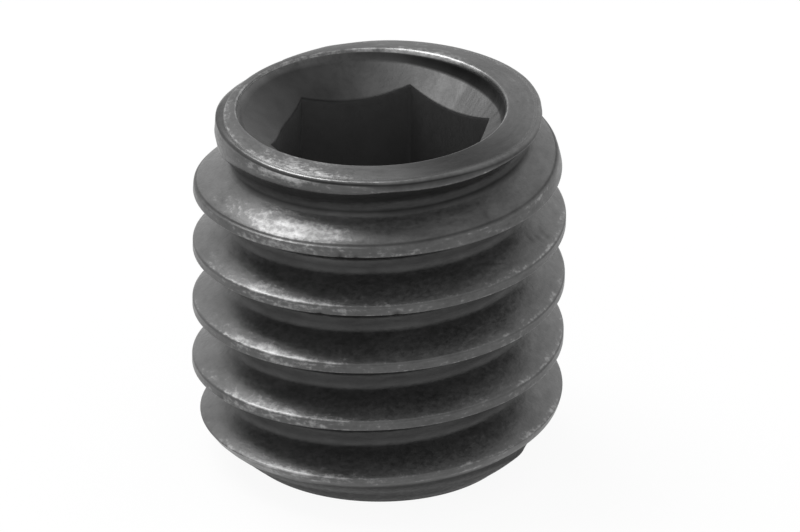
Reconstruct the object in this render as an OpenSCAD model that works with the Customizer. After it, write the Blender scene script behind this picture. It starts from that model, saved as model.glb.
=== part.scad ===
// Hex socket set screw with a flat point, metric coarse thread, right hand.
// It stands on its flat point, socket upward. All lengths are in millimetres.

/* [Model] */

// Part to show: everything, or the one node by name

/* [Thread] */

// Outside diameter over the crests
major_diameter = 5.88; // [5.79:0.01:5.97]
// Rise of the helix in one full turn
pitch = 1.0; // [0.5:0.05:1.5]
// Diameter at the bottom of the groove
root_diameter = 4.72; // [4.4:0.01:5.0]
// Width of the flat left on top of each crest
crest_flat = 0.13; // [0.05:0.01:0.25]
// Slope of the flank facing the socket end, from a plane square to the axis
upper_flank_angle = 30; // [25:0.5:35]
// Slope of the flank facing the point, measured the same way
lower_flank_angle = 26; // [25:0.5:35]
// Height of the crest centre line where it starts, on the +X side
thread_phase = -0.015; // [-0.5:0.005:0.5]
// Extra slope of the lower flank where the last turn isn't full
short_flank_angle = 31; // [0:1:35]
// Drop of the thread where it runs out through the socket end
run_out_drop = 0.07; // [0:0.01:0.1]

/* [Ends] */

// Overall length, from the flat point to the socket end
screw_length = 5.88; // [5.76:0.01:6.24]
// Diameter of the flat point
point_diameter = 4.26; // [3.7:0.01:4.5]
// Length of the crowned chamfer beside the point
point_crown_length = 1.25; // [0.6:0.05:2]
// Outside diameter of the ring round the socket, before its edge is broken
face_diameter = 5.2; // [4.8:0.01:5.5]
// Length over which the socket end is crowned
face_crown_length = 1.88; // [0.6:0.01:2.5]
// Small bevel that breaks the outer edge of the ring
face_edge_break = 0.05; // [0:0.01:0.2]

/* [Socket] */

// Hexagon width across its flats
socket_across_flats = 3.06; // [3.02:0.01:3.08]
// Depth of the hexagon below the socket end
socket_depth = 3.0; // [2:0.1:3.5]
// Turn of the hexagon about the axis, corner to +X
socket_turn = 15; // [0:0.5:60]
// Point angle of the pilot hole under the hexagon
pilot_point_angle = 118; // [90:1:140]
// Diameter of the recess round the hexagon
mouth_diameter = 4.22; // [3.8:0.01:4.6]
// Depth of the recess where its wall ends, on average
mouth_wall_depth = 0.25; // [0:0.01:0.4]
// Narrowing of the recess from its rim to the foot of its wall
mouth_wall_taper = 0.03; // [0:0.01:0.1]
// Distance of the recess from the screw axis, to the right when positive
mouth_shift_x = -0.15; // [-0.15:0.01:0.15]
// Distance of the recess from the screw axis, to the back when positive
mouth_shift_y = 0.09; // [-0.15:0.01:0.15]
// Included angle of the cone that leads from the recess into the hexagon
mouth_cone_angle = 114; // [90:1:130]
// Distance of the cone from the screw axis, to the right when positive
mouth_cone_shift = -0.06; // [-0.15:0.01:0.15]

/* [Fineness] */

// Flat segments in one turn of the thread
segments_per_turn = 48; // [24:8:96]

/* [Hidden] */

steel_black = [0.16, 0.16, 0.17];

// Cutting bodies run this far past the faces they open.
overrun = 1;
// The envelope stands this far outside the crests, so it only trims the ends.
clearance = 0.2;

major_radius = major_diameter / 2;
root_radius = root_diameter / 2;
point_radius = point_diameter / 2;
face_radius = face_diameter / 2;
mouth_radius = mouth_diameter / 2;
upper_slope = tan(upper_flank_angle);

// Half width of the ridge at its crest, and the least width of a worn-down top.
crest_half = crest_flat / 2;
least_top = 0.02;

// Each flank stops a little above the groove, and a short facet rounds it in.
root_blend = 0.05;
root_inset = 0.06;
profile_count = 6;

// Distance from the crest centre line down to the foot of a full lower flank.
full_foot = crest_half + (major_radius - root_radius) * tan(lower_flank_angle);

// Rises smoothly from 0 at start to 1 at end.
function ease(value, start, end) =
    let (way = max(0, min(1, (value - start) / (end - start)))) way * way * (3 - 2 * way);

// Turns are counted along the ridge from where its centre line is at thread_phase.
// The last one isn't full: the blank ran out before the dies closed on it, so the
// ridge is first steep below and then thin, and its foot drops at the very end.
function short_share(place) = ease(place, 5.1, 5.5) * (1 - ease(place, 5.66, 5.78));
function foot(place) = full_foot - 0.165 * ease(place, 5.6, 5.76) + 0.32 * ease(place, 5.98, 6.26);

// The thread drops a little as it runs through the socket end.
function run_out(height) = run_out_drop * ease(height, screw_length - 0.48, screw_length - 0.08);

// Profile of one pitch at a place along the ridge: [radius, distance above the
// crest centre line], from the groove below to the groove above.
function profile(place) =
    let (
        lower_slope = tan(lower_flank_angle + short_flank_angle * short_share(place)),
        low = foot(place),
        meeting = (crest_half + low + major_radius * upper_slope + root_radius * lower_slope
            - least_top) / (upper_slope + lower_slope),
        top = min(major_radius, meeting),
        lower_foot = root_blend * lower_slope - low,
        upper_foot = crest_half + (major_radius - root_radius - root_blend) * upper_slope
    )
    [
        [root_radius, lower_foot - root_inset],
        [root_radius + root_blend, lower_foot],
        [top, (top - root_radius) * lower_slope - low],
        [top, crest_half + (major_radius - top) * upper_slope],
        [root_radius + root_blend, upper_foot],
        [root_radius, upper_foot + root_inset]
    ];

// Whole turns that cover the screw with a spare turn beyond each end.
turns = ceil(screw_length / pitch) + 3;
first_place = -2;
column_count = turns * segments_per_turn;

// Thread grid: one column of profile points for each step round the helix.
thread_points = [
    for (column = [0 : column_count - 1])
        let (
            place = first_place + column / segments_per_turn,
            crest_height = thread_phase + place * pitch
        )
        for (corner = profile(place))
            let (height = crest_height + corner[1])
            [
                corner[0] * cos(360 * place),
                corner[0] * sin(360 * place),
                height - run_out(height)
            ]
];
low_centre = len(thread_points);
high_centre = low_centre + 1;
centre_points = [
    [0, 0, thread_phase + (first_place - 0.5) * pitch],
    [0, 0, thread_phase + (first_place + turns + 0.5) * pitch]
];

// Index of a grid point; past the last corner it is the first one a turn on.
function grid(column, corner) =
    corner < profile_count
        ? column * profile_count + corner
        : (column + segments_per_turn) * profile_count + corner - profile_count;

last_column = column_count - 1;
last_corner = profile_count - 1;
wrap_column = last_column - segments_per_turn;

// Skin of the thread: two triangles for each cell of the grid.
skin_faces = [
    for (column = [0 : last_column - 1], corner = [0 : last_corner])
        if (corner < last_corner || column < wrap_column)
            for (half = [0, 1])
                half == 0
                    ? [grid(column, corner), grid(column + 1, corner + 1), grid(column + 1, corner)]
                    : [grid(column, corner), grid(column, corner + 1), grid(column + 1, corner + 1)]
];

// Loops round the open ends of the skin, each closed by a fan to its centre.
low_loop = [
    for (column = [0 : segments_per_turn]) grid(column, 0),
    for (corner = [last_corner : -1 : 1]) grid(0, corner)
];
high_loop = [
    for (column = [wrap_column : last_column]) grid(column, last_corner),
    for (corner = [last_corner - 1 : -1 : 0]) grid(last_column, corner)
];
low_faces = [
    for (step = [0 : len(low_loop) - 1])
        [low_centre, low_loop[step], low_loop[(step + 1) % len(low_loop)]]
];
high_faces = [
    for (step = [0 : len(high_loop) - 1])
        [high_centre, high_loop[(step + 1) % len(high_loop)], high_loop[step]]
];

// Ends: both are crowned. The radius falls short of the full one by a drop that
// grows with the square of the way from where the crown begins to the end face.
envelope_radius = major_radius + clearance;
crown_steps = 8;
crown_radius = major_radius + 0.02;
function crown(end_radius, way) = crown_radius - (crown_radius - end_radius) * way * way;
point_crown = [
    for (step = [0 : crown_steps])
        let (way = 1 - step / crown_steps)
        [crown(point_radius, way), point_crown_length * (1 - way)]
];
face_crown = [
    for (step = [crown_steps : -1 : 1])
        let (way = 1 - step / crown_steps)
        [crown(face_radius, way), screw_length - face_crown_length * (1 - way)]
];

// The last step of the crown ends in the bevel that breaks the edge.
bevel_radius = crown(face_radius, 1 - face_edge_break / face_crown_length);

// Socket: the recess wall, then the cone that runs down inside the hexagon.
hexagon_radius = socket_across_flats / 2 / cos(30);
socket_floor = screw_length - socket_depth;
wall_foot_radius = mouth_radius - mouth_wall_taper;
wall_lean = mouth_wall_taper / mouth_wall_depth;
wall_reach = 0.5;
cone_rise = 1 / tan(mouth_cone_angle / 2);
mouth_cone_tip = screw_length - mouth_wall_depth - wall_foot_radius * cone_rise;
pilot_radius = socket_across_flats / 2 - 0.08;
pilot_depth = pilot_radius / tan(pilot_point_angle / 2);

round_fineness = 96;

// Threaded bar, longer than the screw at both ends.
module thread_bar() {
    polyhedron(
        points = concat(thread_points, centre_points),
        faces = concat(skin_faces, low_faces, high_faces),
        convexity = 12
    );
}

// Room the finished screw stands in: flat ends and the crowns beside them.
module end_envelope() {
    rotate_extrude($fn = round_fineness)
        polygon(concat(
            [[0, 0]],
            point_crown,
            [[envelope_radius, point_crown_length], [envelope_radius, face_crown[0][1]]],
            face_crown,
            [
                [bevel_radius, screw_length - face_edge_break],
                [bevel_radius - face_edge_break, screw_length],
                [0, screw_length]
            ]
        ));
}

// Shallow round recess: a steep wall all round, over the cone that is its floor.
module mouth_recess() {
    intersection() {
        translate([mouth_shift_x, mouth_shift_y, 0])
            rotate_extrude($fn = round_fineness)
                polygon([
                    [0, mouth_cone_tip - overrun],
                    [mouth_radius - wall_lean * wall_reach, mouth_cone_tip - overrun],
                    [mouth_radius - wall_lean * wall_reach, screw_length - wall_reach],
                    [mouth_radius + wall_lean * overrun, screw_length + overrun],
                    [0, screw_length + overrun]
                ]);
        translate([mouth_cone_shift, 0, 0])
            rotate_extrude($fn = round_fineness)
                polygon([
                    [0, mouth_cone_tip],
                    [major_radius, mouth_cone_tip + major_radius * cone_rise],
                    [major_radius, screw_length + 2 * overrun],
                    [0, screw_length + 2 * overrun]
                ]);
    }
}

// Hexagon for the key.
module hex_socket() {
    translate([0, 0, socket_floor])
        rotate([0, 0, socket_turn])
            cylinder(h = socket_depth + overrun, r = hexagon_radius, $fn = 6);
}

// Cone left by the pilot drill, which reaches up into the hexagon to open it.
module pilot_point() {
    rotate_extrude($fn = round_fineness)
        polygon([
            [0, socket_floor - pilot_depth],
            [pilot_radius, socket_floor],
            [pilot_radius, socket_floor + overrun],
            [0, socket_floor + overrun]
        ]);
}

// The screw, in one piece.
module set_screw() {
    color(steel_black)
        difference() {
            intersection() {
                thread_bar();
                end_envelope();
            }
            mouth_recess();
            hex_socket();
            pilot_point();
        }
}

set_screw();
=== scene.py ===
"""Hex socket set screw, black oxide steel, standing on its flat point.

Lengths inside the shape functions are in millimetres and are turned into
metres once, when the mesh is made. The screw's axis is Z, and places round it
are given in turns from +X toward +Y. The thread is described by two
coordinates: the turns, which go on counting along the ridge, and w, the
distance above or below the middle of the ridge.
"""

import math

import bpy
import numpy as np
from mathutils import Matrix, Vector


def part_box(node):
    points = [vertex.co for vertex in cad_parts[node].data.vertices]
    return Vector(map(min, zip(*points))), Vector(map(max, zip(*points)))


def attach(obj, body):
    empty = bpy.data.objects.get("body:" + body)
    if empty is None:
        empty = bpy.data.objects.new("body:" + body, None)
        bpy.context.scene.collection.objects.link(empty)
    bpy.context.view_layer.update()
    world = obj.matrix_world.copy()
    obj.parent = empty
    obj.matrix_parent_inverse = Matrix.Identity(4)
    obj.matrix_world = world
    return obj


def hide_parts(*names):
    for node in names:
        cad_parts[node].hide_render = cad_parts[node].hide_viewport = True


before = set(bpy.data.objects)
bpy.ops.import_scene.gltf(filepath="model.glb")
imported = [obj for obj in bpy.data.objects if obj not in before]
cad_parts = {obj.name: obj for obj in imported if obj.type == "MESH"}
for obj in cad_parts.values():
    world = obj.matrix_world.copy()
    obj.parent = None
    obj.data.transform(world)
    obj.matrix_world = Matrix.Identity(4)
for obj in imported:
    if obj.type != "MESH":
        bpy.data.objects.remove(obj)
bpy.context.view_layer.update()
MM = 0.001

# ---------------------------------------------------------------- dimensions
(_, _, _), (half_width, _, top_height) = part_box("set_screw")
CREST_R = half_width / MM
LENGTH = top_height / MM

# Thread. PHASE is the height of the ridge's middle where its turns are 0, and
# the slopes are height over radius. The soft lengths say how softly one surface
# runs into the next.
PITCH = 1.0
PHASE = -0.015
CREST_HALF = 0.065
ROOT_R = 2.36
ROOT_SOFT = 0.05
EDGE_SOFT = 0.015
UPPER_SLOPE = math.tan(math.radians(30))
LOWER_SLOPE = math.tan(math.radians(26))

# The first groove isn't full depth: its floor is START_FILL higher, and comes down
# to the root in this stretch of turns.
START_FILL = 0.45
FULL_GROOVE = (0.84, 1.0)

# The last turn is short, because the dies didn't fill it. Its side is a band that
# leans out by BAND_LEAN and has the radius BAND_R at BAND_FOOT below the middle.
# Its lower flank turns about a corner, CORNER_RISE outside the root, and is steeper
# by STEEP. Each pair is the stretch of turns in which that form comes or goes, and
# FOOT_RISES has the flank's foot rising in steps: how far, and the stretch.
BAND_R = 2.575
BAND_LEAN = 0.22
BAND_FOOT = 0.17
BAND_REGAIN = 0.3
BAND_STARTS = (5.1, 5.42)
BAND_STOPS = (5.72, 5.85)
CORNER_RISE = 0.215
STEEP = 0.7
STEEP_STARTS = (5.45, 5.6)
STEEP_STOPS = (5.88, 5.98)
FOOT_RISES = ((0.085, 5.53, 5.6), (0.035, 5.65, 5.8), (0.045, 5.83, 5.92))
FOOT_DROP = 0.32
FOOT_DROPS = (5.98, 6.26)

# The thread's last stretch, as depths under the end face. In it the thread drops,
# the groove gets shallower and the crest wider by a share.
LAST_STRETCH = (0.48, 0.08)
RUN_OUT = 0.07
END_ROOT = 0.03
END_CREST = 0.3

# The last turn's upper shoulder is softer, between these heights and these w.
SHOULDER_SOFT = 0.12
SHOULDER_HEIGHTS = (5.2, 5.6)
SHOULDER_RISE = (0.0, 0.1)
SHOULDER_FALL = (0.3, 0.45)

# Point: a crowned chamfer, cut less at one side, with a small rounded edge. The
# crowns of both ends begin a little outside the crests. POINT_SPARE is a hump: its
# height, its place and its spread, the last two in turns.
CROWN_R = CREST_R + 0.02
POINT_R = 2.13
POINT_CROWN = 1.25
POINT_BREAK = 0.035
POINT_SPARE = (0.09, 0.66, 0.2)
SPARE_HEIGHTS = (0.25, 0.6)

# Ring at the socket end. FACE_TILT is the slope of its face, and its outline is
# FACE_R with humps. Its edge is rounded down, less where the ring is narrower than
# DROP_ROOM.
FACE_R = 2.61
FACE_TILT = 0.022
FACE_SHAPE = (
    (0.045, 0.67, 0.07),
    (-0.11, 0.995, 0.075),
    (-0.06, 0.82, 0.06),
    (-0.055, 0.3, 0.04),
    (-0.018, 0.11, 0.07),
    (-0.04, 0.43, 0.04),
)
CROWN_START = 4.0
EDGE_BREAK = 0.06
RING_DROP = 0.025
RING_WORN = (0.025, 0.66, 0.1)
DROP_ROOM = 0.3

# Socket: recess, cone, hexagon with one flat bowed out, and the pilot drill's cone.
# WALL_CORNER and HEX_BREAK break the corner under the recess wall and the edge of
# the hexagon.
MOUTH = (-0.15, 0.09)
MOUTH_R = 2.11
MOUTH_LIP = 0.045
LIP_WORN = (0.015, 0.175, 0.08)
MOUTH_DEPTH = 0.25
WALL_FOOT_R = MOUTH_R - 0.03
WALL_CORNER = 0.03
CONE_X = -0.06
CONE_SLOPE = 1 / math.tan(math.radians(57))
HEX_HALF = 1.53
HEX_TURN = 15
HEX_BOW = (0.06, 0.455, 0.05)
HEX_BREAK = 0.012
SOCKET_DEPTH = 3.0
PILOT_R = 1.45
PILOT_SLOPE = 1 / math.tan(math.radians(59))

# Nicks on the crests and pits in the flanks: turns, w, size and depth.
NICKS = (
    (4.717, -0.06, 0.05, 0.03),
    (4.731, -0.07, 0.04, 0.025),
    (3.766, -0.06, 0.05, 0.03),
    (3.7, -0.08, 0.05, 0.03),
    (1.594, -0.03, 0.06, 0.02),
    (3.936, 0.2, 0.06, 0.015),
    (3.946, 0.16, 0.05, 0.015),
    (3.928, 0.25, 0.05, 0.015),
    (4.855, 0.2, 0.06, 0.015),
)

# Mesh columns round the screw and their places in turns.
COLUMNS = 360
ROUND = np.arange(COLUMNS) / COLUMNS
ALL_ROUND = 2 * np.pi

# Material slots of the one mesh.
THREAD_SLOT, CONE_SLOT, BORE_SLOT = 0, 1, 2


# ------------------------------------------------------------ shape functions
def soft_max(a, b, soft):
    return 0.5 * (a + b + np.sqrt((a - b) ** 2 + soft ** 2))


def soft_min(a, b, soft):
    return 0.5 * (a + b - np.sqrt((a - b) ** 2 + soft ** 2))


def ease(value, start, end):
    """Rises smoothly from 0 at start to 1 at end."""
    t = np.clip((value - start) / (end - start), 0, 1)
    return t * t * (3 - 2 * t)


def between(value, rise, fall):
    """1 between two stretches, in which it rises from 0 and falls back to it."""
    return ease(value, *rise) * (1 - ease(value, *fall))


def bulge(turns, place, spread):
    """A smooth hump round one place on the circumference."""
    off = (turns - place + 0.5) % 1 - 0.5
    return np.exp(-((off / spread) ** 2))


def hump(turns, shape):
    """A hump given by its height, place and spread."""
    height, place, spread = shape
    return height * bulge(turns, place, spread)


def face_height(x):
    """Height of the end face, which is cut a little out of square."""
    return LENGTH - FACE_TILT * (FACE_R - x)


def edge_height(turns):
    """Height of the end face at its outer edge."""
    return face_height(FACE_R * np.cos(turns * ALL_ROUND))


def face_radius(turns):
    """Outer radius of the ring at the socket end, which is a little out of round."""
    return FACE_R + sum(hump(turns, shape) for shape in FACE_SHAPE)


def ring_drop(turns):
    """How far the ring is rounded down at its edge, more where it has been scuffed down."""
    return RING_DROP + hump(turns, RING_WORN)


def rim_height(turns):
    """Height at which the ring's rounded edge begins."""
    return edge_height(turns) - ring_drop(turns) - EDGE_BREAK


def point_cut(turns, z):
    """Radius of the chamfer at the point, which is cut less at the front left."""
    low = np.clip((POINT_CROWN - z) / POINT_CROWN, 0, 1.2)
    spare = hump(turns, POINT_SPARE) * ease(z, *SPARE_HEIGHTS)
    return CROWN_R - (CROWN_R - POINT_R) * low ** 2 + spare


def envelope(turns, z):
    """Radius of the blank, which is crowned beside the point and the face."""
    high = np.clip((z - CROWN_START) / (edge_height(turns) - CROWN_START), 0, 1.2)
    lead_in = CROWN_R - (CROWN_R - face_radius(turns)) * high ** 2
    edge = np.clip((z - rim_height(turns)) / EDGE_BREAK, 0, 1)
    lead_in = lead_in - EDGE_BREAK * (1 - np.sqrt(1 - edge ** 2))
    return np.minimum(np.minimum(point_cut(turns, z), lead_in), CREST_R)


def foot(turns):
    """Distance from the middle of the ridge down to the foot of its lower flank."""
    full = CREST_HALF + (CREST_R - ROOT_R) * LOWER_SLOPE
    short = sum(rise * ease(turns, start, end) for rise, start, end in FOOT_RISES)
    return full - short + FOOT_DROP * ease(turns, *FOOT_DROPS)


def lower_slope(turns):
    """Slope of the lower flank, which is steep under the end of the last turn."""
    return LOWER_SLOPE + STEEP * between(turns, STEEP_STARTS, STEEP_STOPS)


def lower_flank(turns, w):
    """Radius of the lower flank, which turns about a corner above its foot."""
    corner = foot(turns) - CORNER_RISE * LOWER_SLOPE
    return ROOT_R + CORNER_RISE + (w + corner) / lower_slope(turns)


def band_radius(turns):
    """Radius of the short last turn's side, which is out of the way elsewhere."""
    closed = (CREST_R - BAND_R) * ease(turns, *BAND_STARTS)
    return CREST_R - closed + BAND_REGAIN * ease(turns, *BAND_STOPS)


def near_end(z):
    """Share of the way through the last stretch of the thread."""
    start, end = LAST_STRETCH
    return ease(z, LENGTH - start, LENGTH - end)


def thread(turns, w, z, start_fill=START_FILL):
    """Radius of the thread at a distance w from the middle of the ridge."""
    end = near_end(z)
    half = CREST_HALF * (1 + END_CREST * end)
    groove = turns + (w > 0)
    floor = ROOT_R + END_ROOT * end + start_fill * (1 - ease(groove, *FULL_GROOVE))
    band = band_radius(turns) + (w + BAND_FOOT) * BAND_LEAN
    upper = CREST_R - (w - half) / UPPER_SLOPE
    ridge = np.minimum(np.minimum(lower_flank(turns, w), band), upper)
    return np.minimum(soft_max(ridge, floor, ROOT_SOFT), CREST_R)


def run_out(z):
    """How far the thread drops where it runs through the socket end."""
    return RUN_OUT * near_end(z)


def skin(turns, w, z):
    """Radius of the finished surface, softer on the last turn's upper shoulder."""
    shoulder = ease(z, *SHOULDER_HEIGHTS) * between(w, SHOULDER_RISE, SHOULDER_FALL)
    soft = EDGE_SOFT + SHOULDER_SOFT * shoulder
    return np.minimum(soft_min(thread(turns, w, z), envelope(turns, z), soft), CREST_R)


def ridge_place(turns, z):
    """The ridge's own turns, and w, of a place given by its angle and height."""
    along = z + run_out(z) - PHASE - PITCH * turns
    whole = np.floor(along / PITCH + 0.5)
    return turns + whole, along - whole * PITCH


def skin_ring(z):
    """Radius of the finished surface all the way round at one height."""
    turns, w = ridge_place(ROUND, z)
    return skin(turns, w, z)


def seam(turns):
    """Depth and half width of the fold that rolling leaves beside the crest."""
    fades = (5.15, 5.35)
    wide = between(turns, (4.25, 4.45), fades)
    present = between(turns, (1.3, 1.6), fades)
    return (0.010 + 0.018 * wide) * present, 0.009 + 0.011 * wide


def nick_depth(turns, w):
    """How deep the nicks and pits cut at each place."""
    total = 0
    for place, height, size, depth in NICKS:
        along = (turns - place) * ALL_ROUND * CREST_R / size
        total = total + depth * np.exp(-(along ** 2) - ((w - height) / size) ** 2)
    return total


# ------------------------------------------------------------------------ wear, painted highlights and painted shade
# Wear runs from about -0.5 where shade is painted, over 0 on sound black oxide, to 0.5 where the
# steel is bare or a highlight is painted. A nick or fold is painted darker, as shade in the cut, by
# the first number below for each mm of its depth.
CUT_SHADE = 12
# Painted shade on the point's rounded edge and on the chamfer's lowest ring, which mirror the floor
# where the screw shades it.
POINT_SHADE = -0.35
CHAMFER_SHADE = -0.4


def ring_wear_and_light(turns, way):
    """Wear of the ring, on the way from its outer edge (0) to the lip (1), with painted highlights
    near the lip at the back and at the front left; darker at the front right.
    """
    # The outer edge is lighter all round but at the front right, partly scuffing and partly a
    # painted highlight.
    edge = -0.03 + 0.18 * (1 - way) ** 2 * (1 - 0.8 * bulge(turns, 0.85, 0.1))
    # Painted highlights, partly scuffing: near the lip at the back, and at the front left.
    rubbed_and_lit_back = 0.25 * bulge(turns, 0.18, 0.08) * way ** 2
    rubbed_and_lit_left = 0.22 * bulge(turns, 0.67, 0.06) + 0.09 * bulge(turns, 0.5, 0.1)
    # Darker at the front right.
    darkening = 0.45 * bulge(turns, 0.85, 0.09)
    return edge + rubbed_and_lit_back + rubbed_and_lit_left - darkening


def edge_wear_and_light(turns, way):
    """Wear of the ring's rounded edge, from below it (0) to its top (1), with a painted highlight,
    partly scuffing, at the front left and a little at the back right; darker low at the front and
    all up the left.
    """
    darkening = 0.6 * bulge(turns, 0.76, 0.14) * bulge(way, 0.15, 0.2) + 0.3 * bulge(turns, 0.5, 0.08)
    # Partly scuffing, partly painted highlight, most at the front left.
    rubbed_and_lit = 0.12 * bulge(turns, 0.15, 0.2) + 0.42 * bulge(turns, 0.67, 0.07)
    return rubbed_and_lit * ease(way, 0.4, 0.7) - darkening


def lip_wear_and_light(turns):
    """Wear of the lip, a little all round, with a painted highlight at the back right that is cut
    short towards the right.
    """
    return 0.22 + 0.18 * bulge(turns, 0.18, 0.06) - 0.2 * bulge(turns, 0.06, 0.04)


def wall_painted_shade(turns):
    """Painted shade on the recess wall, most of it at the back right."""
    return -0.5 * bulge(turns, 0.13, 0.13)


def cone_painted_shade(turns):
    """Painted shade on the socket's cone, most of it at the back left."""
    return -0.35 * bulge(turns, 0.36, 0.12)


def thread_wear_and_light(turns, w):
    """Wear of the ridge, partly a painted highlight, most at the front left, and painted shade in
    the groove and on the chamfer.

    The highest full turn lies open, and its scuffing and painted highlight reach further up its
    flank.
    """
    # Partly scuffing, partly painted highlight and sheen: most at the front left, and some at the
    # right.
    left = bulge(turns, 0.662, 0.06)
    right = bulge(turns, 0.93, 0.07)
    open_turn = between(turns, (4.4, 4.55), (4.7, 4.8))

    crest = (0.08 + 0.12 * left) * (1 - ease(np.abs(w), 0.05, 0.08))
    # A light line on the crest's lower corner, partly scuffing, partly a painted glint.
    lower_corner = 0.17 * between(w, (-0.09, -0.06), (-0.06, -0.04))
    # The painted highlight reaches less far up the flank past the front left.
    reach = 0.27 - 0.1 * ease(turns % 1, 0.62, 0.68) + 0.25 * open_turn
    upper_flank = (0.05 + 0.23 * left + 0.12 * right) * ease(w, 0.05, 0.08)
    upper_flank = upper_flank * (1 - ease(w, 0.1 + 0.1 * open_turn, reach))
    # A thin painted glint along the flank's outer edge, partly scuffing.
    upper_flank = upper_flank + (0.06 + 0.14 * left) * bulge(w, 0.075, 0.018)

    # Painted shade in the groove, deepest under the last full turn, and on the chamfer, which
    # mirrors the floor where the screw shades it.
    groove = 0.24 * ease(np.abs(w), 0.3 + 0.1 * open_turn, 0.5)
    last_groove = 0.3 * between(turns, (4.5, 4.6), (4.9, 5.0)) * ease(w, 0.36, 0.44)
    chamfer = np.maximum(ease(-w, 0.08, 0.14), 1 - ease(turns, 0.15, 0.3))
    chamfer = 0.4 * chamfer * (1 - ease(turns, 0.95, 1.15))
    worn = np.maximum(np.maximum(crest, upper_flank), lower_corner)
    return worn - groove - last_groove - chamfer


# ------------------------------------------------------------------ mesh tools
class Net:
    """Collects points and faces; points are (x, y, z) in millimetres."""

    def __init__(self):
        self.points = []
        self.marks = []
        self.faces = []
        self.slots = []
        self.count = 0

    def add(self, points, across=0.0, worn=0.0):
        """Points with two marks: how far across the grain, and a scuffing mark that also paints
        highlights where it is high and shade where it is low.
        """
        points = np.asarray(points, float).reshape(-1, 3)
        first = self.count
        self.points.append(points)
        self.count += len(points)
        mark = [np.broadcast_to(value, len(points)) for value in (across, worn)]
        self.marks.append(np.stack(mark, axis=-1))
        return np.arange(first, self.count)

    def face(self, corners, slot):
        self.faces.append(tuple(int(i) for i in corners))
        self.slots.append(slot)

    def quads(self, a, b, c, d, slot=THREAD_SLOT):
        """Faces from four index arrays, dropping corners that coincide."""
        for quad in zip(a.ravel(), b.ravel(), c.ravel(), d.ravel()):
            ring = [quad[0]]
            for i in quad[1:]:
                if i != ring[-1]:
                    ring.append(i)
            if ring[-1] == ring[0]:
                ring.pop()
            if len(set(ring)) >= 3:
                self.face(ring, slot)

    def grow(self, ring, points, across=0.0, worn=0.0, slot=THREAD_SLOT, down=False):
        """Adds a closed ring of points, joined to the ring before it by quads."""
        new = self.add(points, across, worn)
        low, high = (new, ring) if down else (ring, new)
        self.quads(low, np.roll(low, -1), np.roll(high, -1), high, slot)
        return new

    def cap(self, ring, centre, slot=THREAD_SLOT, down=False):
        """Closes a ring with a fan of triangles."""
        tip = self.add([centre])[0]
        for i, j in zip(ring, np.roll(ring, -1)):
            self.face((j, i, tip) if down else (i, j, tip), slot)


def circle(radius, z, centre=(0.0, 0.0)):
    """Points round the screw, one for each mesh column."""
    angle = ROUND * ALL_ROUND
    x = centre[0] + radius * np.cos(angle)
    y = centre[1] + radius * np.sin(angle)
    return np.stack([x, y, np.broadcast_to(z, angle.shape)], axis=-1)


# ----------------------------------------------------------------- the thread
# Least distances of mesh rows from the crest: those of the groove below and above
# it, and that of the lower flank's corner. The groove's rows begin FOOT_ROUND
# before the foot of a flank.
LOW_GAP = 0.09
HIGH_GAP = 0.07
CORNER_GAP = 0.06
FOOT_ROUND = 0.06


def ridge_edges(turns):
    """Where the envelope cuts the flanks: (below, above), as distances w."""
    height = CREST_R + CREST_HALF / UPPER_SLOPE
    full = (height - lower_flank(turns, 0)) / (1 / lower_slope(turns) + 1 / UPPER_SLOPE)
    band = band_radius(turns) + BAND_FOOT * BAND_LEAN
    short = (height - band) / (BAND_LEAN + 1 / UPPER_SLOPE)
    top = np.maximum(full, short)
    search_limit = PITCH / 2 - 0.12
    edges = []

    # The stretch between a place inside the envelope and one outside is halved.
    for limit in (-search_limit, search_limit):
        near = top
        far = np.full_like(turns, limit)
        for _ in range(30):
            middle = 0.5 * (near + far)
            z = PHASE + PITCH * turns + middle
            inside = thread(turns, middle, z, start_fill=0) >= envelope(turns, z) - 1e-9
            near = np.where(inside, middle, near)
            far = np.where(inside, far, middle)
        edges.append(0.5 * (near + far))
    return edges


def rows_between(a, b, shares):
    return [a + (b - a) * t for t in shares]


def thread_rows(turns):
    """Distances w of the mesh rows over one pitch, groove centre to groove centre."""
    below, above = ridge_edges(turns)
    half = np.full_like(turns, PITCH / 2)
    flank_foot = CREST_HALF + (CREST_R - ROOT_R) * UPPER_SLOPE - FOOT_ROUND
    groove_low = np.minimum(-flank_foot, below - LOW_GAP)
    groove_high = np.maximum(flank_foot, above + HIGH_GAP)
    over = band_radius(turns) + BAND_FOOT * BAND_LEAN - lower_flank(turns, 0)
    corner = np.minimum(over / (1 / lower_slope(turns) - BAND_LEAN), below - CORNER_GAP)
    edge = [below + 0.01 * step for step in range(-2, 3)]
    fold = [above + 0.008 * step for step in range(-4, 5)]
    rows = (
        rows_between(-half, groove_low, (0.0, 0.3, 0.6, 0.8))
        + rows_between(groove_low, corner, (0.0, 0.2, 0.4, 0.7, 0.93, 1.0))
        + rows_between(corner, edge[0], (0.1, 0.5))
        + edge
        + rows_between(edge[-1], fold[0], (0.25, 0.5, 0.75))
        + fold
        + rows_between(fold[-1], groove_high, (0.2, 0.4, 0.6, 0.75, 0.9))
        + rows_between(groove_high, half, (0.0, 0.2, 0.4, 0.7))
    )
    return np.stack(rows, axis=-1), above


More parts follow.
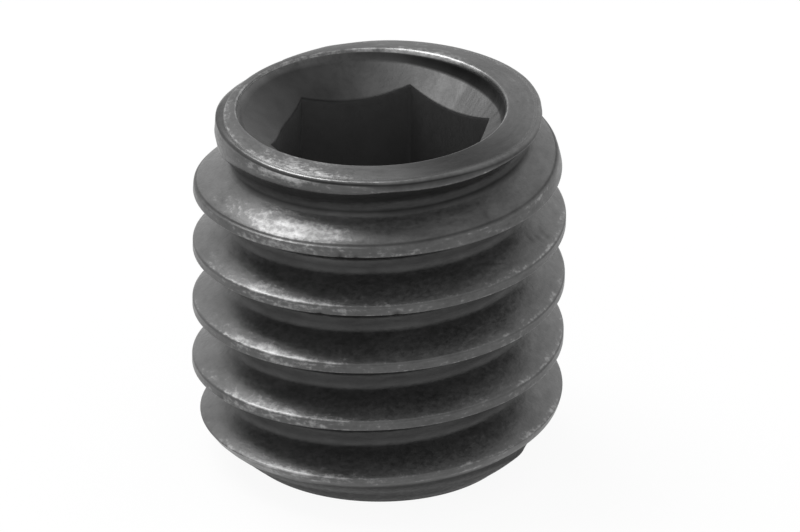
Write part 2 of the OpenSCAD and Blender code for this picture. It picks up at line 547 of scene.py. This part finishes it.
def add_thread(net, low_ring, high_ring):
    """The threaded side: a grid wound along the helix, from end ring to end ring.

    Rows past an end, or within a margin of it, fall on that end's ring, where
    their faces vanish.
    """
    first_turn = math.floor(-PHASE / PITCH) - 2
    last_turn = math.ceil(LENGTH / PITCH) + 1
    step = np.arange((last_turn - first_turn + 1) * COLUMNS)
    column = step % COLUMNS
    low_ring, high_ring = low_ring[column], high_ring[column]
    high_z = rim_height(ROUND)[column][:, None]

    turns = first_turn + step / COLUMNS
    w, above = thread_rows(turns)
    depth, width = seam(turns)
    fold = np.exp(-(((w - above[:, None] - 0.002) / width[:, None]) ** 2))
    turns = turns[:, None]

    # The drop at the socket end depends on the height, so a few rounds find both.
    along = PHASE + PITCH * turns + w
    z = along
    for _ in range(4):
        z = along - run_out(z)

    cut = depth[:, None] * fold + nick_depth(turns, w)
    radius = skin(turns, w, z) - cut
    # The ridge's scuffing and painted light, with painted shade in the nicks and the fold.
    marked_wear_and_light = thread_wear_and_light(turns, w) - CUT_SHADE * cut
    angle = turns * ALL_ROUND
    points = np.stack([radius * np.cos(angle), radius * np.sin(angle), z], axis=-1)

    margin = 0.004
    under = z <= POINT_BREAK + margin
    inside = ~under & (z < high_z - margin)
    index = np.where(under, low_ring[:, None], high_ring[:, None])
    index[inside] = net.add(points[inside], w[inside], marked_wear_and_light[inside])

    # The last row of one pitch is the first row a whole turn further on.
    next_turn = np.minimum(step + COLUMNS, len(step) - 1)
    top_row = np.where(step + COLUMNS < len(step), index[next_turn, 0], high_ring)
    index = np.concatenate([index, top_row[:, None]], axis=1)
    net.quads(index[:-1, :-1], index[1:, :-1], index[1:, 1:], index[:-1, 1:])


# -------------------------------------------------------------------- the ends
def ring_across(points):
    """Mark across the grain of the ring, which was turned in circles."""
    return -np.hypot(points[:, 0], points[:, 1])


def add_ring(net, ring, rim_z, rim_w):
    """The ring's rounded edge, its face and its lip; gives the lip's last row."""
    soft = MOUTH_LIP + hump(ROUND, LIP_WORN)
    lip = circle(MOUTH_R + soft, 0.0, MOUTH)
    lip[:, 2] = face_height(lip[:, 0])
    top = edge_height(ROUND)
    room = skin_ring(top) - np.hypot(lip[:, 0], lip[:, 1])
    drop = ring_drop(ROUND) * np.clip(room / DROP_ROOM, 0.1, 1)
    rise = top - drop - rim_z
    for t in np.linspace(0, 1, 7)[1:]:
        climb = rise * math.sin(t * math.pi / 2)
        edge = circle(skin_ring(rim_z + climb), rim_z + climb)
        ring = net.grow(ring, edge, rim_w + climb, edge_wear_and_light(ROUND, t))
    for t in (0.12, 0.3, 0.5, 0.7, 0.88, 1.0):
        row = edge + (lip - edge) * t
        row[:, 2] = face_height(row[:, 0]) - drop * (1 - t) ** 2
        ring = net.grow(ring, row, ring_across(row), ring_wear_and_light(ROUND, t))
    for t in (0.25, 0.5, 0.75, 1.0):
        angle = t * math.pi / 2
        row = circle(MOUTH_R + soft * (1 - math.sin(angle)), 0.0, MOUTH)
        row[:, 2] = face_height(row[:, 0]) - soft * (1 - math.cos(angle))
        ring = net.grow(ring, row, ring_across(row), lip_wear_and_light(ROUND))
    return ring, row


def cone_height(points):
    """Height of the cone that leads from the recess wall into the hexagon."""
    radius = np.hypot(points[:, 0] - CONE_X, points[:, 1])
    return LENGTH - MOUTH_DEPTH - (WALL_FOOT_R - radius) * CONE_SLOPE


def add_socket(net, ring, wall_top):
    """Recess wall, cone, hexagon and the cone of the pilot drill under it."""
    # The radial streaks lie close together at the right and wide apart elsewhere.
    spacing = 0.15 + 0.85 * bulge(ROUND, 0.07, 0.08)
    radial = np.cumsum(spacing) / np.sum(spacing) * ALL_ROUND * HEX_HALF

    wall_foot = circle(WALL_FOOT_R, 0.0, MOUTH)
    wall_foot[:, 2] = cone_height(wall_foot) + WALL_CORNER
    for t in (0.3, 0.6, 0.85):
        row = wall_top + (wall_foot - wall_top) * t
        ring = net.grow(ring, row, radial, wall_painted_shade(ROUND), CONE_SLOT)

    hex_angle = np.radians((360 * ROUND - HEX_TURN) % 60 - 30)
    hexagon = circle(HEX_HALF / np.cos(hex_angle) + hump(ROUND, HEX_BOW), 0.0)
    cone_top = circle(WALL_FOOT_R - WALL_CORNER, 0.0, MOUTH)
    for t in (0.0, 0.1, 0.25, 0.4, 0.55, 0.7, 0.85, 0.95, 0.985, 1.0):
        row = cone_top + (hexagon - cone_top) * t
        row[:, 2] = cone_height(row) - HEX_BREAK * (t == 1.0)
        # Painted shade: the first row takes the wall's, the rest the cone's.
        darkening = wall_painted_shade(ROUND) if t == 0.0 else cone_painted_shade(ROUND)
        ring = net.grow(ring, row, radial, darkening, CONE_SLOT)

    floor_z = LENGTH - SOCKET_DEPTH
    hexagon[:, 2] = cone_height(hexagon)
    for t in (0.02, 0.1, 0.3, 0.6, 1.0):
        row = hexagon.copy()
        row[:, 2] += (floor_z - hexagon[:, 2]) * t
        ring = net.grow(ring, row, radial, slot=BORE_SLOT)
    pilot_depth = PILOT_R * PILOT_SLOPE
    for t in (0.0, 0.34, 0.67):
        row = circle(PILOT_R * (1 - t), floor_z - pilot_depth * t)
        ring = net.grow(ring, row, radial, slot=BORE_SLOT)
    net.cap(ring, (0, 0, floor_z - pilot_depth), BORE_SLOT)


def add_point(net, ring, low_w):
    """The small rounded edge of the point, then its flat."""
    base = skin_ring(np.full(COLUMNS, POINT_BREAK))
    for t in np.linspace(0, 1, 5)[1:]:
        angle = t * math.pi / 2
        inset = POINT_BREAK * (1 - math.cos(angle) + 0.6 * math.sin(angle))
        row = circle(base - inset, POINT_BREAK * (1 - math.sin(angle)))
        # Painted shade on the point's rounded edge.
        ring = net.grow(ring, row, low_w, POINT_SHADE, down=True)
    for radius in (1.9, 1.4, 0.8, 0.3):
        ring = net.grow(ring, circle(radius, 0.0), down=True)
    net.cap(ring, (0, 0, 0), down=True)


# ------------------------------------------------------------------- the screw
def mark_mesh(mesh, net):
    """Writes the two marks that the material reads: "across", and the scuffing mark, which also
    carries painted highlights and shade.
    """
    marks = np.concatenate(net.marks)
    worn = mesh.attributes.new("worn", "FLOAT", "POINT")
    worn.data.foreach_set("value", marks[:, 1])

    # Where a face spans the join of one pitch and the next, its grain runs on.
    corners = np.concatenate([np.array(face) for face in net.faces])
    sizes = np.array([len(face) for face in net.faces])
    starts = np.concatenate([[0], np.cumsum(sizes)[:-1]])
    grain = marks[corners, 0]
    low = np.minimum.reduceat(grain, starts)
    span = np.maximum.reduceat(grain, starts) - low
    whole = np.where(np.array(net.slots) > THREAD_SLOT, ALL_ROUND * HEX_HALF, PITCH)
    joined = np.repeat((span > whole / 2) & (span < 1.5 * whole), sizes)
    behind = grain < np.repeat(low + whole / 2, sizes)
    grain = grain + joined * behind * np.repeat(whole, sizes)
    across = mesh.attributes.new("across", "FLOAT", "CORNER")
    across.data.foreach_set("value", grain * MM)


def build_screw():
    net = Net()
    low_z = np.full(COLUMNS, POINT_BREAK)
    low_w = ridge_place(ROUND, low_z)[1]
    # The chamfer's lowest ring gets painted shade.
    low_ring = net.add(circle(skin_ring(low_z), low_z), low_w, CHAMFER_SHADE)
    rim_z = rim_height(ROUND)
    rim_w = ridge_place(ROUND, rim_z)[1]
    rim = net.add(circle(skin_ring(rim_z), rim_z), rim_w, edge_wear_and_light(ROUND, 0))

    add_thread(net, low_ring, rim)
    lip_ring, lip = add_ring(net, rim, rim_z, rim_w)
    add_socket(net, lip_ring, lip)
    add_point(net, low_ring, low_w)

    mesh = bpy.data.meshes.new("set_screw_body")
    points = np.concatenate(net.points) * MM
    mesh.from_pydata([tuple(p) for p in points], [], net.faces)
    mesh.polygons.foreach_set("material_index", net.slots)
    mesh.polygons.foreach_set("use_smooth", [True] * len(net.faces))
    mesh.update()
    mark_mesh(mesh, net)
    screw = bpy.data.objects.new("set_screw_body", mesh)
    bpy.context.scene.collection.objects.link(screw)
    return screw


# ------------------------------------------------------------------- materials
# Brightness of bare steel, and how much an even rub lightens the oxide; both also paint highlights
# where the scuffing mark carries them.
BARE_STEEL_AND_HIGHLIGHT = 0.45
EVEN_RUB_AND_SHEEN = 0.07


class Recipe:
    """Short ways to add shader nodes to one tree; each gives a node's output."""

    def __init__(self, tree):
        self.nodes = tree.nodes
        self.links = tree.links

    def math(self, operation, first, second):
        node = self.nodes.new("ShaderNodeMath")
        node.operation = operation
        for value, socket in ((first, node.inputs[0]), (second, node.inputs[1])):
            if isinstance(value, (int, float)):
                socket.default_value = value
            else:
                self.links.new(value, socket)
        return node.outputs[0]

    def plus(self, first, second):
        return self.math("ADD", first, second)

    def times(self, first, second):
        return self.math("MULTIPLY", first, second)

    def mapped(self, value, start, end, out_start, out_end):
        """Maps a value from one range to another, with the ends held."""
        node = self.nodes.new("ShaderNodeMapRange")
        numbers = {"From Min": start, "From Max": end, "To Min": out_start, "To Max": out_end}
        for socket, number in numbers.items():
            node.inputs[socket].default_value = number
        self.links.new(value, node.inputs["Value"])
        return node.outputs[0]

    def mark(self, attribute):
        node = self.nodes.new("ShaderNodeAttribute")
        node.attribute_name = attribute
        return node.outputs["Fac"]

    def grain(self, size, stretch, detail):
        """Noise of the given size in mm, drawn out along the grain by a stretch."""
        node = self.nodes.new("ShaderNodeTexNoise")
        node.noise_dimensions = "4D"
        node.inputs["Scale"].default_value = 1 / (size * MM)
        node.inputs["Detail"].default_value = detail
        node.inputs["Roughness"].default_value = 0.6
        place = self.nodes.new("ShaderNodeTexCoord")
        self.links.new(place.outputs["Object"], node.inputs["Vector"])
        self.links.new(self.times(self.mark("across"), stretch), node.inputs["W"])
        return node.outputs["Fac"]


def black_oxide(name, metallic, dark, spread, roughness, size, stretch):
    """Black oxide over steel, thin or gone where the scuffing mark is high. The same mark paints
    highlights where it is high and shade where it is low.

    The oxide's brightness is dark, more or less by the share spread. The streaks
    in it have the given size in mm and are that many times longer than wide.
    """
    material = bpy.data.materials.new(name)
    material.use_nodes = True
    recipe = Recipe(material.node_tree)
    plus, times, mapped = recipe.plus, recipe.times, recipe.mapped
    shader = recipe.nodes["Principled BSDF"]
    shader.inputs["Metallic"].default_value = metallic

    streak = recipe.grain(size, stretch, 2)
    blotch = recipe.grain(0.8, 0, 3)
    speck = recipe.grain(0.075, 0.8, 3)
    worn = recipe.mark("worn")

    # Brightness: the oxide, darker where the mark paints shade, and the steel where the oxide is
    # gone or where the mark paints a highlight.
    oxide = plus(plus(streak, blotch), speck)
    oxide = mapped(oxide, 1.1, 1.9, dark * (1 - spread), dark * (1 + spread))
    oxide = times(oxide, mapped(worn, -0.5, 0, 0.25, 1))
    bare_and_highlight = plus(plus(worn, times(streak, 0.6)), times(speck, 0.7))
    bare_and_highlight = times(mapped(bare_and_highlight, 0.81, 1.43, 0, BARE_STEEL_AND_HIGHLIGHT), mapped(worn, 0, 0.1, 0, 1))
    bare_and_highlight = plus(bare_and_highlight, mapped(worn, 0, 0.5, 0, EVEN_RUB_AND_SHEEN))
    recipe.links.new(plus(oxide, bare_and_highlight), shader.inputs["Base Color"])

    rough = mapped(speck, 0.3, 0.7, roughness - 0.08, roughness + 0.1)
    rough = plus(rough, mapped(worn, -0.5, 0, 0.3, 0))
    recipe.links.new(rough, shader.inputs["Roughness"])

    bump = recipe.nodes.new("ShaderNodeBump")
    bump.inputs["Distance"].default_value = 0.004 * MM
    bump.inputs["Strength"].default_value = 1.0
    recipe.links.new(plus(speck, streak), bump.inputs["Height"])
    recipe.links.new(bump.outputs[0], shader.inputs["Normal"])
    return material


# Metallic, brightness and its spread, roughness, and the streaks' size and stretch.
FINISHES = {
    "black_oxide_thread": (0.85, 0.085, 0.3, 0.37, 0.3, 4),
    "black_oxide_cone": (0.85, 0.066, 0.4, 0.45, 0.8, 2.5),
    "black_oxide_bore": (0.6, 0.09, 0.1, 0.6, 0.8, 4),
}

screw = build_screw()
for finish, numbers in FINISHES.items():
    screw.data.materials.append(black_oxide(finish, *numbers))
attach(screw, "root")
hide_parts("set_screw")


# ------------------------------------------------------- the floor and backdrop
FLOOR_HALF = 0.4
FLOOR_WHITE = 0.93
AMBIENT = 0.75


def seen_or_mirrored(recipe):
    """1 for rays that show a surface directly, in a gloss or through glass."""
    path = recipe.nodes.new("ShaderNodeLightPath")
    total = path.outputs["Is Camera Ray"]
    for kind in ("Is Glossy Ray", "Is Transmission Ray"):
        total = recipe.plus(total, path.outputs[kind])
        total.node.use_clamp = True
    return total


def stage_material():
    """White to the eye and in reflections, with a little left to catch the shadow."""
    material = bpy.data.materials.new("pale_floor")
    material.use_nodes = True
    recipe = Recipe(material.node_tree)
    recipe.nodes.clear()
    out = recipe.nodes.new("ShaderNodeOutputMaterial")
    mix = recipe.nodes.new("ShaderNodeMixShader")
    diffuse = recipe.nodes.new("ShaderNodeBsdfDiffuse")
    diffuse.inputs["Color"].default_value = (0.8, 0.8, 0.8, 1)
    white = recipe.nodes.new("ShaderNodeEmission")
    white.inputs["Color"].default_value = (1, 1, 1, 1)
    white.inputs["Strength"].default_value = 1.0
    share = recipe.times(seen_or_mirrored(recipe), FLOOR_WHITE)
    recipe.links.new(share, mix.inputs["Fac"])
    recipe.links.new(diffuse.outputs[0], mix.inputs[1])
    recipe.links.new(white.outputs[0], mix.inputs[2])
    recipe.links.new(mix.outputs[0], out.inputs["Surface"])
    return material


def build_floor():
    mesh = bpy.data.meshes.new("floor")
    corners = [(x * FLOOR_HALF, y * FLOOR_HALF, 0) for x, y in ((-1, -1), (1, -1), (1, 1), (-1, 1))]
    mesh.from_pydata(corners, [], [(0, 1, 2, 3)])
    mesh.materials.append(stage_material())
    floor = bpy.data.objects.new("floor", mesh)
    bpy.context.scene.collection.objects.link(floor)
    return floor


floor = build_floor()


# ------------------------------------------------------------------- lighting
# Lamps: azimuth, elevation and half angle in degrees, and radiance.
LAMPS = {
    "key_left": (141, 60, 20, 5.5),
    "low_left": (120, 22, 16, 0.4),
    "low_right": (55, 30, 18, 0.5),
}
LAMP_DISTANCE = 0.18


def world_light():
    """An even light, with a white background to the eye and in reflections."""
    world = bpy.data.worlds.new("studio")
    world.use_nodes = True
    recipe = Recipe(world.node_tree)
    background = recipe.nodes["Background"]
    background.inputs["Color"].default_value = (1, 1, 1, 1)
    level = recipe.mapped(seen_or_mirrored(recipe), 0, 1, AMBIENT, 1.0)
    recipe.links.new(level, background.inputs["Strength"])
    bpy.context.scene.world = world


def soft_box(name, azimuth, elevation, half_angle, radiance):
    """A round soft lamp seen from the screw under the given angles, in degrees."""
    az, el = math.radians(azimuth), math.radians(elevation)
    toward = Vector((math.cos(el) * math.cos(az), math.cos(el) * math.sin(az), math.sin(el)))
    light = bpy.data.lights.new(name, "AREA")
    light.shape = "DISK"
    light.size = 2 * LAMP_DISTANCE * math.tan(math.radians(half_angle))
    area = math.pi * light.size ** 2 / 4
    light.energy = radiance * math.pi * area
    box = bpy.data.objects.new(name, light)
    box.location = Vector((0, 0, LENGTH / 2 * MM)) + toward * LAMP_DISTANCE
    box.rotation_euler = (-toward).to_track_quat("-Z", "Y").to_euler()
    bpy.context.scene.collection.objects.link(box)


world_light()
for lamp, numbers in LAMPS.items():
    soft_box(lamp, *numbers)


# --------------------------------------------------------------------- camera
# Distances in mm: from the camera to its aim, and across the picture at the aim.
CAMERA_DISTANCE = 175.0
VIEW_WIDTH = 12.59843
CAMERA_AIM = (0.334, 0.0, 3.08)
CAMERA_ELEVATION = math.radians(26.35)
CAMERA_ROLL = math.radians(-0.8)


def build_camera():
    data = bpy.data.cameras.new("camera")
    data.sensor_width = 36.0
    data.lens = data.sensor_width * CAMERA_DISTANCE / VIEW_WIDTH
    data.clip_start = 0.01
    data.clip_end = 10.0
    back = Vector((0, -math.cos(CAMERA_ELEVATION), math.sin(CAMERA_ELEVATION)))
    level_right = Vector((1, 0, 0))
    level_up = back.cross(level_right)
    right = level_right * math.cos(CAMERA_ROLL) - level_up * math.sin(CAMERA_ROLL)
    up = level_right * math.sin(CAMERA_ROLL) + level_up * math.cos(CAMERA_ROLL)
    place = (Vector(CAMERA_AIM) + back * CAMERA_DISTANCE) * MM
    camera = bpy.data.objects.new("camera", data)
    axes = Matrix((right, up, back)).transposed()
    camera.matrix_world = Matrix.Translation(place) @ axes.to_4x4()
    bpy.context.scene.collection.objects.link(camera)
    return camera


bpy.context.scene.camera = build_camera()
bpy.context.scene.view_settings.view_transform = "Standard"
